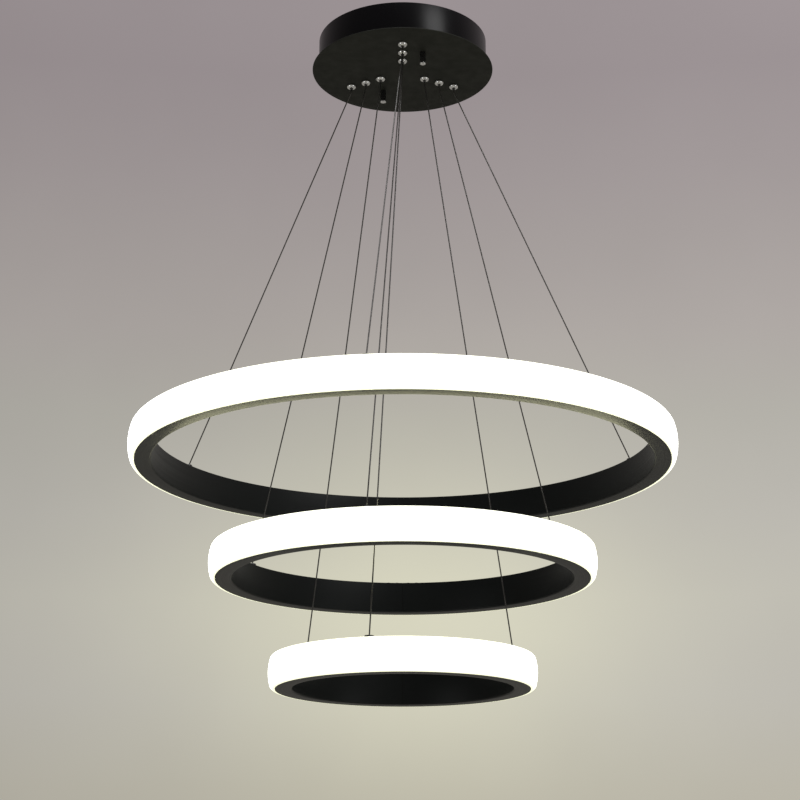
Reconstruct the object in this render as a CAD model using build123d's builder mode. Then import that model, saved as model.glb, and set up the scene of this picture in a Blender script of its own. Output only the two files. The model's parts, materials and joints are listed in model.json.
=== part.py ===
from build123d import *
from math import acos, atan2, cos, degrees, pi, radians, sin, sqrt, tan
import os

os.makedirs("parts", exist_ok=True)

# A chandelier of three glowing rings that hang one under the other from a round canopy.
# Millimetres. The origin is on the ceiling over the middle of the canopy, +Z points up,
# and the near side, where one radial line of wires leaves the canopy, is towards -Y.

# ---- canopy: a spun wall on a flat plate, under the ceiling ----
canopy_depth = 50.0  # from the ceiling to the underside of the plate
plate_diameter = 282.0
plate_thickness = 2.0
plate_edge_round = 0.8
wall_diameter = 262.0
wall_thickness = 1.2
wall_corner_round = 2.5
wall_flange_width = 11.0  # turned inwards, rests on the plate
rim_gap = 0.5  # between the wall's rim and the ceiling
flange_inset = 6.5  # from the wall's outside to the flange's nuts
flange_nut_count = 4

# ---- weld studs that stand up from the plate, and their nuts ----
weld_stud_radius = 1.5
weld_stud_spare = 1.5  # thread that shows past the nut
weld_nut_flats = 5.5
weld_nut_height = 2.4

# ---- bracket on the ceiling, with two long studs and their nuts ----
bracket_turn = 115.4  # direction of the strap and its studs, degrees from +X
bracket_width = 25.0
bracket_thickness = 2.0
bracket_step = 6.0  # the strap's ends stand this far under the ceiling
bracket_flat_half = 50.0  # half the stretch that touches the ceiling
bracket_slope = 7.0  # run of each sloping stretch
bracket_end = 12.0  # strap past the stud
stud_spread = 144.0  # between the two studs
stud_radius = 2.0
stud_head_radius = 3.5
stud_head_height = 2.5
lock_nut_flats = 7.0
lock_nut_height = 3.2
ceiling_hole_spread = 70.0
ceiling_hole_radius = 2.5
cap_nut_radius = 4.5
cap_nut_length = 20.0
cap_nut_floor = 3.0  # closed end under the stud
cap_nut_round = 1.2
cap_nut_gap = 0.1  # under the plate
stud_spare = 1.0  # between the stud's tip and the nut's floor

# ---- driver and mains terminal on the plate, inside the canopy ----
driver_direction = 210.0
driver_radius = 74.0
driver_length = 100.0
driver_width = 38.0
driver_height = 24.0
driver_wall = 1.6
driver_ear = 10.0
driver_ear_width = 19.0
driver_ear_thickness = 3.0
driver_cover_thickness = 2.0
driver_board_thickness = 1.6
driver_board_post = 5.0  # height
driver_post_radius = 2.4
driver_post_spread = (80.0, 19.0)  # along and across the case
driver_board_gap = 1.0  # round the board
transformer_size = (24.0, 22.0, 11.0)
capacitor_radius = 5.0
capacitor_height = 12.0
capacitor_spread = 60.0
terminal_direction = 330.0
terminal_radius = 78.0
terminal_length = 34.0
terminal_width = 18.0
terminal_height = 15.0
terminal_ear = 8.0
terminal_ear_width = 9.0
terminal_ear_thickness = 3.0
terminal_pitch = 10.0
terminal_count = 3
terminal_screw_radius = 2.0
terminal_screw_length = 7.0
terminal_slot_width = 0.8
terminal_slot_depth = 1.2
terminal_well_depth = 7.5
terminal_hole_radius = 2.0
terminal_hole_height = 5.0  # the holes' middle, above the plate

# ---- wires and the grips that hold them in the plate ----
wire_radius = 1.0
wire_bend = 14.0  # radius of the bend at the grip's mouth
wire_bend_drop = 4.5  # the bend's corner, under the nose of the grip
wire_tail = 9.0  # cut end above the grip
first_line = -90.0  # direction of the near line of grips
line_count = 3
large_grip_radius = 94.0
middle_grip_radius = 67.0
small_grip_radius = 40.0
grip_cap_radius = 7.5
grip_cap_height = 5.0
grip_cap_round = 4.2
grip_barrel_radius = 5.0
grip_barrel_rise = 14.0  # above the plate
grip_end_wall = 1.5
grip_seat_drop = 1.0  # the plunger's seat, under the plate's underside
grip_nut_flats = 13.0
grip_nut_height = 3.5
plunger_nose_radius = 2.5
plunger_nose_reach = 1.5  # shows under the cap, and is the travel
plunger_collar_radius = 3.3
plunger_collar_height = 2.0
spring_inner_radius = 2.3
spring_outer_radius = 3.1

# ---- rings: an aluminium channel, a glowing strip outside it ----
large_ring_diameter = 800.0
middle_ring_diameter = 558.0
small_ring_diameter = 381.0
large_ring_drop = 692.5  # from the ceiling to the ring's bottom face
middle_ring_drop = 861.0
small_ring_drop = 1016.5
large_ring_turns = (-7.2, -9.1, 2.8)  # each anchor round from its own grip's direction, degrees
middle_ring_turns = (-10.8, -7.4, 2.6)
small_ring_turns = (-15.6, -14.4, -1.3)
ring_height = 47.0
channel_width = 24.0
channel_wall = 1.6
channel_lower_round = 2.4
channel_upper_round = 1.2
strip_recess = 5.0  # from the channel's edge back to the web
seam_direction = 90.0
seam_width = 0.3
bulge = 9.5  # how far the diffuser stands out of the channel
bulge_lead = 0.6
bulge_corner = 6.5
diffuser_wall = 2.0
diffuser_leg = 3.5
diffuser_leg_thickness = 1.4
tape_width = 10.0
tape_thickness = 0.8
led_length = 3.5
led_width = 2.8
led_thickness = 0.8
led_pitch = 33.3

# ---- wire anchors in the rings ----
anchor_inset = 11.0  # from the channel's inner wall
anchor_flange_radius = 6.5
anchor_flange_height = 4.0
anchor_flange_round = 1.2
anchor_stem_radius = 4.0
anchor_nut_flats = 10.0
anchor_nut_height = 2.5
anchor_stem_spare = 0.6
ball_radius = 2.5
neck_rise = 1.5  # the anchor's narrow neck, above the ball's middle
neck_slope = 0.5  # height of the step from the socket in to the neck

# ---- splice that closes each channel's seam ----
splice_length = 60.0
splice_thickness = 2.0
splice_screw_radius = 1.5
splice_screw_length = 5.0
splice_head_radius = 2.8
splice_head_height = 1.8
splice_screw_spots = (-22.0, -9.0, 9.0, 22.0)  # along the ring, from the seam

# ---- clearances ----
thread_gap = 0.05  # a screw or stud in its own nut or thread
turning_gap = 0.08  # a cap nut on its stud
hole_gap = 0.1  # a shank in the hole that it passes
stud_hole_gap = 0.4  # a long stud in the plate
sliding_gap = 0.1  # the plunger in its grip
seat_gap = 0.1  # a piece over the seat that it rests on
wire_gap = 0.2  # round a wire
ball_gap = 0.15  # round the ball in its socket
inner_gap = 0.5  # round the splice plate
leg_gap = 0.15  # between the diffuser's legs and the channel

# ---- heights and directions that follow ----
plate_under = -canopy_depth
plate_top = plate_under + plate_thickness
line_directions = [first_line + 360 / line_count * k for k in range(line_count)]
line_names = ("near", "right", "left")
strap_under = -bracket_step - bracket_thickness
stud_directions = (bracket_turn + 180, bracket_turn)
weld_nut_bore = weld_stud_radius + thread_gap
channel_edge_inset = bulge + leg_gap  # from the ring's outermost line to the channel's edge


def spot(radius, direction):
    """A place in the XY plane at a radius and a direction in degrees."""
    return radius * cos(radians(direction)), radius * sin(radians(direction))


def hexagon(flats):
    """Radius of the circle through a hexagon's corners."""
    return flats / 2 / cos(pi / 6)


def upright(x, y):
    """The vertical plane through (x, y): sketch X is radius and sketch Y is height."""
    return Plane(origin=(x, y, 0), x_dir=(1, 0, 0), z_dir=(0, -1, 0))


def radial(direction):
    """The vertical plane that holds the Z axis and a direction in degrees."""
    return Plane(origin=(0, 0, 0), x_dir=(*spot(1, direction), 0), z_dir=(*spot(1, direction - 90), 0))


def bar(x_low, x_high, y_low, y_high, mode=Mode.ADD):
    """A rectangle between two corners, in the sketch being made."""
    with Locations((x_low, y_low)):
        Rectangle(x_high - x_low, y_high - y_low, align=(Align.MIN, Align.MIN), mode=mode)


def save(piece, name):
    """Labels a finished piece and writes it."""
    piece.part.label = name
    export_step(piece.part, f"parts/{name}.step")


# ================= canopy =================
flange_nut_radius = wall_diameter / 2 - flange_inset
flange_nut_spots = [
    spot(flange_nut_radius, first_line + 360 / flange_nut_count * (k + 0.5)) for k in range(flange_nut_count)
]
driver_x, driver_y = spot(driver_radius, driver_direction)
driver_plane = Plane(
    origin=(driver_x, driver_y, plate_top), x_dir=(*spot(1, driver_direction - 90), 0), z_dir=(0, 0, 1)
)
terminal_x, terminal_y = spot(terminal_radius, terminal_direction)
terminal_plane = Plane(
    origin=(terminal_x, terminal_y, plate_top), x_dir=(*spot(1, terminal_direction - 90), 0), z_dir=(0, 0, 1)
)
driver_stud_reach = (driver_length + driver_ear) / 2
terminal_stud_reach = (terminal_length + terminal_ear) / 2
grip_radii = (large_grip_radius, middle_grip_radius, small_grip_radius)
grip_spots = [spot(radius, direction) for radius in grip_radii for direction in line_directions]
stud_spots = [spot(stud_spread / 2, direction) for direction in stud_directions]

# canopy_wall: a spun cylinder with a flange turned in at its foot
with BuildPart() as canopy_wall:
    with BuildSketch(Plane.XZ):
        outer = wall_diameter / 2
        bar(outer - wall_thickness, outer, plate_top, -rim_gap)
        bar(outer - wall_flange_width, outer, plate_top, plate_top + wall_thickness)
    revolve(axis=Axis.Z)
    foot = canopy_wall.edges().filter_by(GeomType.CIRCLE).group_by(Axis.Z)[0].sort_by(SortBy.RADIUS)[-1]
    fillet(foot, radius=wall_corner_round)
    with Locations(*[(x, y, plate_top) for x, y in flange_nut_spots]):
        Cylinder(weld_stud_radius + hole_gap, 4 * wall_thickness, mode=Mode.SUBTRACT)
save(canopy_wall, "canopy_wall")

# canopy_plate: a disc with the grips' and studs' holes, and weld studs on its upper face
with BuildPart() as canopy_plate:
    with BuildSketch(Plane.XY.offset(plate_under)):
        Circle(plate_diameter / 2)
        with Locations(*grip_spots):
            Circle(grip_barrel_radius + hole_gap, mode=Mode.SUBTRACT)
        with Locations(*stud_spots):
            Circle(stud_radius + stud_hole_gap, mode=Mode.SUBTRACT)
    extrude(amount=plate_thickness)
    rims = canopy_plate.edges().filter_by(GeomType.CIRCLE).sort_by(SortBy.RADIUS)[-2:]
    fillet(rims, radius=plate_edge_round)
    with BuildSketch(Plane.XY.offset(plate_top)):
        with Locations(*flange_nut_spots):
            Circle(weld_stud_radius)
    extrude(amount=wall_thickness + weld_nut_height + weld_stud_spare)
    with BuildSketch(driver_plane):
        with Locations((-driver_stud_reach, 0), (driver_stud_reach, 0)):
            Circle(weld_stud_radius)
    extrude(amount=driver_ear_thickness + weld_nut_height + weld_stud_spare)
    with BuildSketch(terminal_plane):
        with Locations((-terminal_stud_reach, 0), (terminal_stud_reach, 0)):
            Circle(weld_stud_radius)
    extrude(amount=terminal_ear_thickness + weld_nut_height + weld_stud_spare)
save(canopy_plate, "canopy_plate")

# plate_nuts: the nuts on the weld studs, over the flange and the ears
with BuildPart() as plate_nuts:
    with BuildSketch(Plane.XY.offset(plate_top + wall_thickness)):
        with Locations(*flange_nut_spots):
            RegularPolygon(hexagon(weld_nut_flats), 6)
            Circle(weld_nut_bore, mode=Mode.SUBTRACT)
    extrude(amount=weld_nut_height)
    with BuildSketch(driver_plane.offset(driver_ear_thickness)):
        with Locations((-driver_stud_reach, 0), (driver_stud_reach, 0)):
            RegularPolygon(hexagon(weld_nut_flats), 6)
            Circle(weld_nut_bore, mode=Mode.SUBTRACT)
    extrude(amount=weld_nut_height)
    with BuildSketch(terminal_plane.offset(terminal_ear_thickness)):
        with Locations((-terminal_stud_reach, 0), (terminal_stud_reach, 0)):
            RegularPolygon(hexagon(weld_nut_flats), 6)
            Circle(weld_nut_bore, mode=Mode.SUBTRACT)
    extrude(amount=weld_nut_height)
save(plate_nuts, "plate_nuts")

# ceiling_bracket: a strap whose ends step down, so that the studs' heads clear the ceiling
strap_half = stud_spread / 2 + bracket_end
with BuildPart() as ceiling_bracket:
    with BuildSketch(radial(bracket_turn)):
        with BuildLine():
            slope_end = bracket_flat_half + bracket_slope
            Polyline(
                (-strap_half, -bracket_step),
                (-slope_end, -bracket_step),
                (-bracket_flat_half, 0),
                (bracket_flat_half, 0),
                (slope_end, -bracket_step),
                (strap_half, -bracket_step),
                (strap_half, strap_under),
                (slope_end - bracket_thickness / 2, strap_under),
                (bracket_flat_half - bracket_thickness / 2, -bracket_thickness),
                (-bracket_flat_half + bracket_thickness / 2, -bracket_thickness),
                (-slope_end + bracket_thickness / 2, strap_under),
                (-strap_half, strap_under),
                close=True,
            )
        make_face()
    extrude(amount=bracket_width / 2, both=True)
    with Locations(*[(x, y, strap_under) for x, y in stud_spots]):
        Cylinder(stud_radius + hole_gap, 4 * bracket_thickness, mode=Mode.SUBTRACT)
    ceiling_holes = [spot(ceiling_hole_spread / 2, direction) for direction in stud_directions]
    with Locations(*[(x, y, 0) for x, y in ceiling_holes]):
        Cylinder(ceiling_hole_radius, 4 * bracket_thickness, mode=Mode.SUBTRACT)
save(ceiling_bracket, "ceiling_bracket")

# bracket_studs: headed studs that hang from the strap's ends down through the plate
stud_tip = plate_under - cap_nut_gap - cap_nut_length + cap_nut_floor + stud_spare
with BuildPart() as bracket_studs:
    with Locations(*[(x, y, -bracket_step) for x, y in stud_spots]):
        Cylinder(stud_head_radius, stud_head_height, align=(Align.CENTER, Align.CENTER, Align.MIN))
        Cylinder(
            stud_radius, -bracket_step - stud_tip, align=(Align.CENTER, Align.CENTER, Align.MAX)
        )
save(bracket_studs, "bracket_studs")

# stud_lock_nuts: a nut under the strap on each stud
with BuildPart() as stud_lock_nuts:
    with BuildSketch(Plane.XY.offset(strap_under - lock_nut_height)):
        with Locations(*stud_spots):
            RegularPolygon(hexagon(lock_nut_flats), 6)
            Circle(stud_radius + thread_gap, mode=Mode.SUBTRACT)
    extrude(amount=lock_nut_height)
save(stud_lock_nuts, "stud_lock_nuts")

# near_cap_nut and far_cap_nut: long closed nuts that draw the plate up to the ceiling
for nut_name, (nut_x, nut_y) in zip(("near_cap_nut", "far_cap_nut"), stud_spots):
    nut_top = plate_under - cap_nut_gap
    with BuildPart() as cap_nut:
        with BuildSketch(Plane.XY.offset(nut_top)):
            with Locations((nut_x, nut_y)):
                Circle(cap_nut_radius)
        extrude(amount=-cap_nut_length)
        fillet(cap_nut.edges().group_by(Axis.Z)[0], radius=cap_nut_round)
        with BuildSketch(Plane.XY.offset(nut_top)):
            with Locations((nut_x, nut_y)):
                Circle(stud_radius + turning_gap)
        extrude(amount=cap_nut_floor - cap_nut_length, mode=Mode.SUBTRACT)
    save(cap_nut, nut_name)

# driver_case: an open tray with an ear at each end and posts for the board
with BuildPart() as driver_case:
    with BuildSketch(driver_plane):
        Rectangle(driver_length, driver_width)
    extrude(amount=driver_height)
    with BuildSketch(driver_plane.offset(driver_wall)):
        Rectangle(driver_length - 2 * driver_wall, driver_width - 2 * driver_wall)
    extrude(amount=driver_height, mode=Mode.SUBTRACT)
    with BuildSketch(driver_plane):
        for side in (-1, 1):
            with Locations((side * driver_stud_reach, 0)):
                Rectangle(driver_ear, driver_ear_width)
                Circle(weld_stud_radius + hole_gap, mode=Mode.SUBTRACT)
    extrude(amount=driver_ear_thickness)
    with BuildSketch(driver_plane.offset(driver_wall)):
        with GridLocations(*driver_post_spread, 2, 2):
            Circle(driver_post_radius)
    extrude(amount=driver_board_post)
save(driver_case, "driver_case")

# driver_board: a circuit board with a transformer and two capacitors
board_height = driver_wall + driver_board_post + seat_gap
with BuildPart() as driver_board:
    board_inset = 2 * (driver_wall + driver_board_gap)
    with BuildSketch(driver_plane.offset(board_height)):
        Rectangle(driver_length - board_inset, driver_width - board_inset)
    extrude(amount=driver_board_thickness)
    with BuildSketch(driver_plane.offset(board_height + driver_board_thickness)):
        Rectangle(transformer_size[0], transformer_size[1])
    extrude(amount=transformer_size[2])
    with BuildSketch(driver_plane.offset(board_height + driver_board_thickness)):
        with GridLocations(capacitor_spread, 0, 2, 1):
            Circle(capacitor_radius)
    extrude(amount=capacitor_height)
save(driver_board, "driver_board")

# driver_cover: a lid that rests on the tray and plugs into it
with BuildPart() as driver_cover:
    with BuildSketch(driver_plane.offset(driver_height)):
        Rectangle(driver_length, driver_width)
    extrude(amount=driver_cover_thickness)
    plug_inset = 2 * (driver_wall + seat_gap)
    with BuildSketch(driver_plane.offset(driver_height - driver_wall)):
        Rectangle(driver_length - plug_inset, driver_width - plug_inset)
        rib_inset = plug_inset + 2 * driver_wall
        Rectangle(driver_length - rib_inset, driver_width - rib_inset, mode=Mode.SUBTRACT)
    extrude(amount=driver_wall)
save(driver_cover, "driver_cover")

# terminal_block: a mains connector with a wire hole and a screw well for each pole
terminal_places = [(k - (terminal_count - 1) / 2) * terminal_pitch for k in range(terminal_count)]
with BuildPart() as terminal_block:
    with BuildSketch(terminal_plane):
        Rectangle(terminal_length, terminal_width)
    extrude(amount=terminal_height)
    with BuildSketch(terminal_plane):
        for side in (-1, 1):
            with Locations((side * terminal_stud_reach, 0)):
                Rectangle(terminal_ear, terminal_ear_width)
                Circle(weld_stud_radius + hole_gap, mode=Mode.SUBTRACT)
    extrude(amount=terminal_ear_thickness)
    with BuildSketch(terminal_plane.offset(terminal_height)):
        with Locations(*[(place, 0) for place in terminal_places]):
            Circle(terminal_screw_radius + thread_gap)
    extrude(amount=-terminal_well_depth, mode=Mode.SUBTRACT)
    across = Plane(
        origin=(terminal_x, terminal_y, plate_top + terminal_hole_height),
        x_dir=(*spot(1, terminal_direction - 90), 0),
        z_dir=(*spot(-1, terminal_direction), 0),
    )
    with BuildSketch(across):
        with Locations(*[(place, 0) for place in terminal_places]):
            Circle(terminal_hole_radius)
    extrude(amount=terminal_width, both=True, mode=Mode.SUBTRACT)
save(terminal_block, "terminal_block")

# terminal_screws: a slotted clamp screw in each well
with BuildPart() as terminal_screws:
    with BuildSketch(terminal_plane.offset(terminal_height)):
        with Locations(*[(place, 0) for place in terminal_places]):
            Circle(terminal_screw_radius)
    extrude(amount=-terminal_screw_length)
    with BuildSketch(terminal_plane.offset(terminal_height)):
        with Locations(*[(place, 0) for place in terminal_places]):
            Rectangle(3 * terminal_screw_radius, terminal_slot_width)
    extrude(amount=-terminal_slot_depth, mode=Mode.SUBTRACT)
save(terminal_screws, "terminal_screws")

# ================= grips =================
cap_bottom = plate_under - grip_cap_height
seat_height = plate_under - grip_seat_drop
barrel_top = plate_top + grip_barrel_rise
collar_bottom = seat_height + seat_gap
collar_top = collar_bottom + plunger_collar_height
bore_top = barrel_top - grip_end_wall
nose_bottom = cap_bottom - plunger_nose_reach

# grip_bodies: domed caps under the plate with a threaded barrel that passes up through it
with BuildPart() as grip:
    with BuildSketch(Plane.XZ):
        with BuildLine():
            Polyline(
                (wire_radius + wire_gap, barrel_top),
                (grip_barrel_radius, barrel_top),
                (grip_barrel_radius, plate_under),
                (grip_cap_radius, plate_under),
                (grip_cap_radius, cap_bottom),
                (plunger_nose_radius + sliding_gap, cap_bottom),
                (plunger_nose_radius + sliding_gap, seat_height),
                (plunger_collar_radius + sliding_gap, seat_height),
                (plunger_collar_radius + sliding_gap, bore_top),
                (wire_radius + wire_gap, bore_top),
                close=True,
            )
        make_face()
    revolve(axis=Axis.Z)
    cap_rim = grip.edges().filter_by(GeomType.CIRCLE).group_by(Axis.Z)[0].sort_by(SortBy.RADIUS)[-1]
    fillet(cap_rim, radius=grip_cap_round)
with BuildPart() as grip_bodies:
    with Locations(*grip_spots):
        add(grip.part)
save(grip_bodies, "grip_bodies")

# grip_lock_nuts: flat nuts that clamp the barrels to the plate
with BuildPart() as grip_lock_nuts:
    with BuildSketch(Plane.XY.offset(plate_top)):
        with Locations(*grip_spots):
            RegularPolygon(hexagon(grip_nut_flats), 6)
            Circle(grip_barrel_radius + thread_gap, mode=Mode.SUBTRACT)
    extrude(amount=grip_nut_height)
save(grip_lock_nuts, "grip_lock_nuts")

# grip_springs: each pushes its plunger down, drawn as a sleeve of the spring's own size
with BuildPart() as grip_springs:
    with BuildSketch(Plane.XY.offset(collar_top + seat_gap)):
        with Locations(*grip_spots):
            Circle(spring_outer_radius)
            Circle(spring_inner_radius, mode=Mode.SUBTRACT)
    extrude(amount=bore_top - collar_top - 2 * seat_gap)
save(grip_springs, "grip_springs")

# one plunger in each grip: its nose shows under the cap, and pressing it frees the wire
plunger_names = [f"{ring}_{line}_plunger" for ring in ("large", "middle", "small") for line in line_names]
for plunger_name, (plunger_x, plunger_y) in zip(plunger_names, grip_spots):
    with BuildPart() as plunger:
        with BuildSketch(upright(plunger_x, plunger_y)):
            bar(wire_radius + wire_gap, plunger_nose_radius, nose_bottom, collar_top)
            bar(wire_radius + wire_gap, plunger_collar_radius, collar_bottom, collar_top)
        revolve(axis=Axis((plunger_x, plunger_y, 0), (0, 0, 1)))
    save(plunger, plunger_name)

# ================= rings =================
# The diffuser's outline is a D: a corner arc above and below, and a flatter crown arc that
# is tangent to both. The crown's radius follows from the depth, height and corner radius.
bulge_depth = bulge - bulge_lead
half_height = ring_height / 2
crown_excess = bulge_depth**2 + half_height**2 - ring_height * bulge_corner
crown_radius = crown_excess / (2 * (bulge_depth - bulge_corner))


def diffuser_face(rim, middle, inset, mode=Mode.ADD):
    """The D outline between the channel's rim and its crown, drawn in by an inset."""
    corner_x = rim + bulge_lead
    corner_y = half_height - bulge_corner
    crown_x = rim + bulge - crown_radius
    lean = atan2(corner_y, corner_x - crown_x)
    arc = bulge_corner - inset

    def on_corner(angle, side):
        return corner_x + arc * cos(angle), middle + side * (corner_y + arc * sin(angle))

    with BuildLine() as outline:
        for side in (1, -1):
            Line((rim, middle + side * (half_height - inset)), on_corner(pi / 2, side))
            ThreePointArc(on_corner(pi / 2, side), on_corner(pi / 4 + lean / 2, side), on_corner(lean, side))
        ThreePointArc(on_corner(lean, 1), (rim + bulge - inset, middle), on_corner(lean, -1))
        Line((rim, middle - half_height + inset), (rim, middle + half_height - inset))
    make_face(outline.edges(), mode=mode)


rings = (
    ("large_ring", large_ring_diameter, large_ring_drop, large_ring_turns, large_grip_radius),
    ("middle_ring", middle_ring_diameter, middle_ring_drop, middle_ring_turns, middle_grip_radius),
    ("small_ring", small_ring_diameter, small_ring_drop, small_ring_turns, small_grip_radius),
)
for ring_name, ring_diameter, ring_drop, ring_turns, grip_radius in rings:
    floor = -ring_drop
    middle = floor + half_height
    ceiling = floor + ring_height
    rim = ring_diameter / 2 - channel_edge_inset
    inner = rim - channel_width
    web_outer = rim - strip_recess
    web_inner = web_outer - channel_wall
    anchor_radius = inner + anchor_inset
    anchor_directions = [direction + turn for direction, turn in zip(line_directions, ring_turns)]
    anchor_spots = [spot(anchor_radius, direction) for direction in anchor_directions]
    splice_radius = (inner + channel_wall + web_inner) / 2
    splice_angles = [seam_direction + degrees(place / splice_radius) for place in splice_screw_spots]
    splice_spots = [spot(splice_radius, angle) for angle in splice_angles]

    # channel: a closed chamber inside, an open recess for the strip of lamps outside
    with BuildPart() as channel:
        with BuildSketch(Plane.XZ) as channel_section:
            bar(inner, rim, floor, ceiling)
            left = channel_section.vertices().group_by(Axis.X)[0].sort_by(Axis.Z)
            fillet(left[0], radius=channel_lower_round)
            fillet(left[-1], radius=channel_upper_round)
            bar(inner + channel_wall, web_inner, floor + channel_wall, ceiling - channel_wall, Mode.SUBTRACT)
            bar(web_outer, rim + 1, floor + channel_wall, ceiling - channel_wall, Mode.SUBTRACT)
        revolve(axis=Axis.Z)
        with Locations(*[(x, y, ceiling) for x, y in anchor_spots]):
            Cylinder(anchor_stem_radius + hole_gap, 3 * channel_wall, mode=Mode.SUBTRACT)
        with Locations(*[(x, y, ceiling) for x, y in splice_spots]):
            Cylinder(splice_screw_radius + hole_gap, 3 * channel_wall, mode=Mode.SUBTRACT)
        seam_x, seam_y = spot((inner + rim) / 2, seam_direction)
        with Locations(Location((seam_x, seam_y, middle), (0, 0, seam_direction))):
            Box(2 * channel_width, seam_width, 2 * ring_height, mode=Mode.SUBTRACT)
    save(channel, f"{ring_name}_channel")

    # diffuser: an opal shell whose two legs clip inside the channel's flanges
    shell_rim = rim + leg_gap
    leg_low = channel_wall + leg_gap
    with BuildPart() as diffuser:
        with BuildSketch(Plane.XZ):
            diffuser_face(shell_rim, middle, 0)
            diffuser_face(shell_rim, middle, diffuser_wall, Mode.SUBTRACT)
            leg_end = shell_rim + diffuser_wall
            bar(rim - diffuser_leg, leg_end, floor + leg_low, floor + leg_low + diffuser_leg_thickness)
            bar(rim - diffuser_leg, leg_end, ceiling - leg_low - diffuser_leg_thickness, ceiling - leg_low)
        revolve(axis=Axis.Z)
    save(diffuser, f"{ring_name}_diffuser")

    # led_tape: a flexible circuit stuck round the web, facing outwards
    tape_inner = web_outer + seat_gap
    tape_outer = tape_inner + tape_thickness
    with BuildPart() as led_tape:
        with BuildSketch(Plane.XZ):
            bar(tape_inner, tape_outer, middle - tape_width / 2, middle + tape_width / 2)
        revolve(axis=Axis.Z)
    save(led_tape, f"{ring_name}_led_tape")

    # leds: the lamps on the tape, one at each step of the pitch
    led_count = round(2 * pi * tape_outer / led_pitch)
    led_middle = tape_outer + seat_gap + led_thickness / 2
    with BuildPart() as leds:
        with Locations((0, 0, middle)):
            with PolarLocations(led_middle, led_count):
                Box(led_thickness, led_length, led_width)
    save(leds, f"{ring_name}_leds")

    # the ring's wires: straight down out of the grip, one bend, then straight to the anchor
    bend_height = nose_bottom - wire_bend_drop
    wire_top = barrel_top + wire_tail
    wire_runs = []
    for (grip_x, grip_y), (ball_x, ball_y) in zip(
        [spot(grip_radius, direction) for direction in line_directions], anchor_spots
    ):
        bend = Vector(grip_x, grip_y, bend_height)
        ball = Vector(ball_x, ball_y, ceiling)
        wire_runs.append((Vector(grip_x, grip_y, wire_top), bend, ball, (bend - ball).normalized()))
    wire_lean = max(acos(away.Z) for top, bend, ball, away in wire_runs)
    neck_radius = sqrt(ball_radius**2 - neck_rise**2) + seat_gap
    wire_reach = anchor_flange_height * tan(wire_lean) + wire_radius / cos(wire_lean)
    flare_radius = max(neck_radius, wire_reach + 2 * wire_gap)
    socket_radius = ball_radius + ball_gap

    # wire_anchors: flanged bushes in the channel's upper face, flared for the wire's lean
    stem_bottom = -channel_wall - anchor_nut_height - anchor_stem_spare
    with BuildPart() as anchor:
        with BuildSketch(Plane.XZ):
            with BuildLine():
                Polyline(
                    (socket_radius, stem_bottom),
                    (anchor_stem_radius, stem_bottom),
                    (anchor_stem_radius, 0),
                    (anchor_flange_radius, 0),
                    (anchor_flange_radius, anchor_flange_height),
                    (flare_radius, anchor_flange_height),
                    (neck_radius, neck_rise),
                    (socket_radius, neck_rise - neck_slope),
                    close=True,
                )
            make_face()
        revolve(axis=Axis.Z)
        flange_rim = anchor.edges().filter_by(GeomType.CIRCLE).group_by(Axis.Z)[-1].sort_by(SortBy.RADIUS)[-1]
        fillet(flange_rim, radius=anchor_flange_round)
    with BuildPart() as wire_anchors:
        with Locations(*[(x, y, ceiling) for x, y in anchor_spots]):
            add(anchor.part)
    save(wire_anchors, f"{ring_name}_wire_anchors")

    # anchor_nuts: inside the chamber, under the upper face
    with BuildPart() as anchor_nuts:
        with BuildSketch(Plane.XY.offset(ceiling - channel_wall - anchor_nut_height)):
            for (x, y), direction in zip(anchor_spots, anchor_directions):
                with Locations(Location((x, y, 0), (0, 0, direction))):
                    RegularPolygon(hexagon(anchor_nut_flats), 6, rotation=30)
                    Circle(anchor_stem_radius + thread_gap, mode=Mode.SUBTRACT)
        extrude(amount=anchor_nut_height)
    save(anchor_nuts, f"{ring_name}_anchor_nuts")

    # wire_ends: a ball crimped on each wire, bored along it, seated in its anchor
    with BuildPart() as wire_end:
        Sphere(ball_radius)
        with BuildSketch():
            Circle(wire_radius + hole_gap)
        extrude(amount=2 * ball_radius, mode=Mode.SUBTRACT)
    with BuildPart() as wire_ends:
        for top, bend, ball, away in wire_runs:
            with Locations(Plane(origin=ball, z_dir=away).location):
                add(wire_end.part)
    save(wire_ends, f"{ring_name}_wire_ends")

    # wires: sheathed steel cable that also carries the current
    wire_lines = []
    for top, bend, ball, away in wire_runs:
        with BuildLine() as wire_line:
            FilletPolyline(top, bend, ball + away * hole_gap, radius=wire_bend)
        wire_lines.append(wire_line.wire())
    with BuildPart() as wires:
        for (top, bend, ball, away), line in zip(wire_runs, wire_lines):
            with BuildSketch(Plane(origin=top, z_dir=(0, 0, -1))):
                Circle(wire_radius)
            sweep(path=line)
    save(wires, f"{ring_name}_wires")
    wire_volume = sum(line.length for line in wire_lines) * pi * wire_radius**2
    print(ring_name, "wire lengths", [round(line.length, 1) for line in wire_lines], "bend radius", wire_bend)
    print("greatest lean", round(degrees(wire_lean), 1))
    print("volume over section times length", round(wires.part.volume / wire_volume, 4))

    # splice_plate: bridges the seam inside the chamber, under the upper face
    splice_angle = degrees(splice_length / splice_radius)
    splice_high = ceiling - channel_wall
    with BuildPart() as splice_plate:
        with BuildSketch(radial(seam_direction - splice_angle / 2)):
            plate_inner = inner + channel_wall + inner_gap
            bar(plate_inner, web_inner - inner_gap, splice_high - splice_thickness, splice_high)
        revolve(axis=Axis.Z, revolution_arc=splice_angle)
        with Locations(*[(x, y, ceiling) for x, y in splice_spots]):
            Cylinder(splice_screw_radius + thread_gap, 6 * splice_thickness, mode=Mode.SUBTRACT)
    save(splice_plate, f"{ring_name}_splice_plate")

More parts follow.
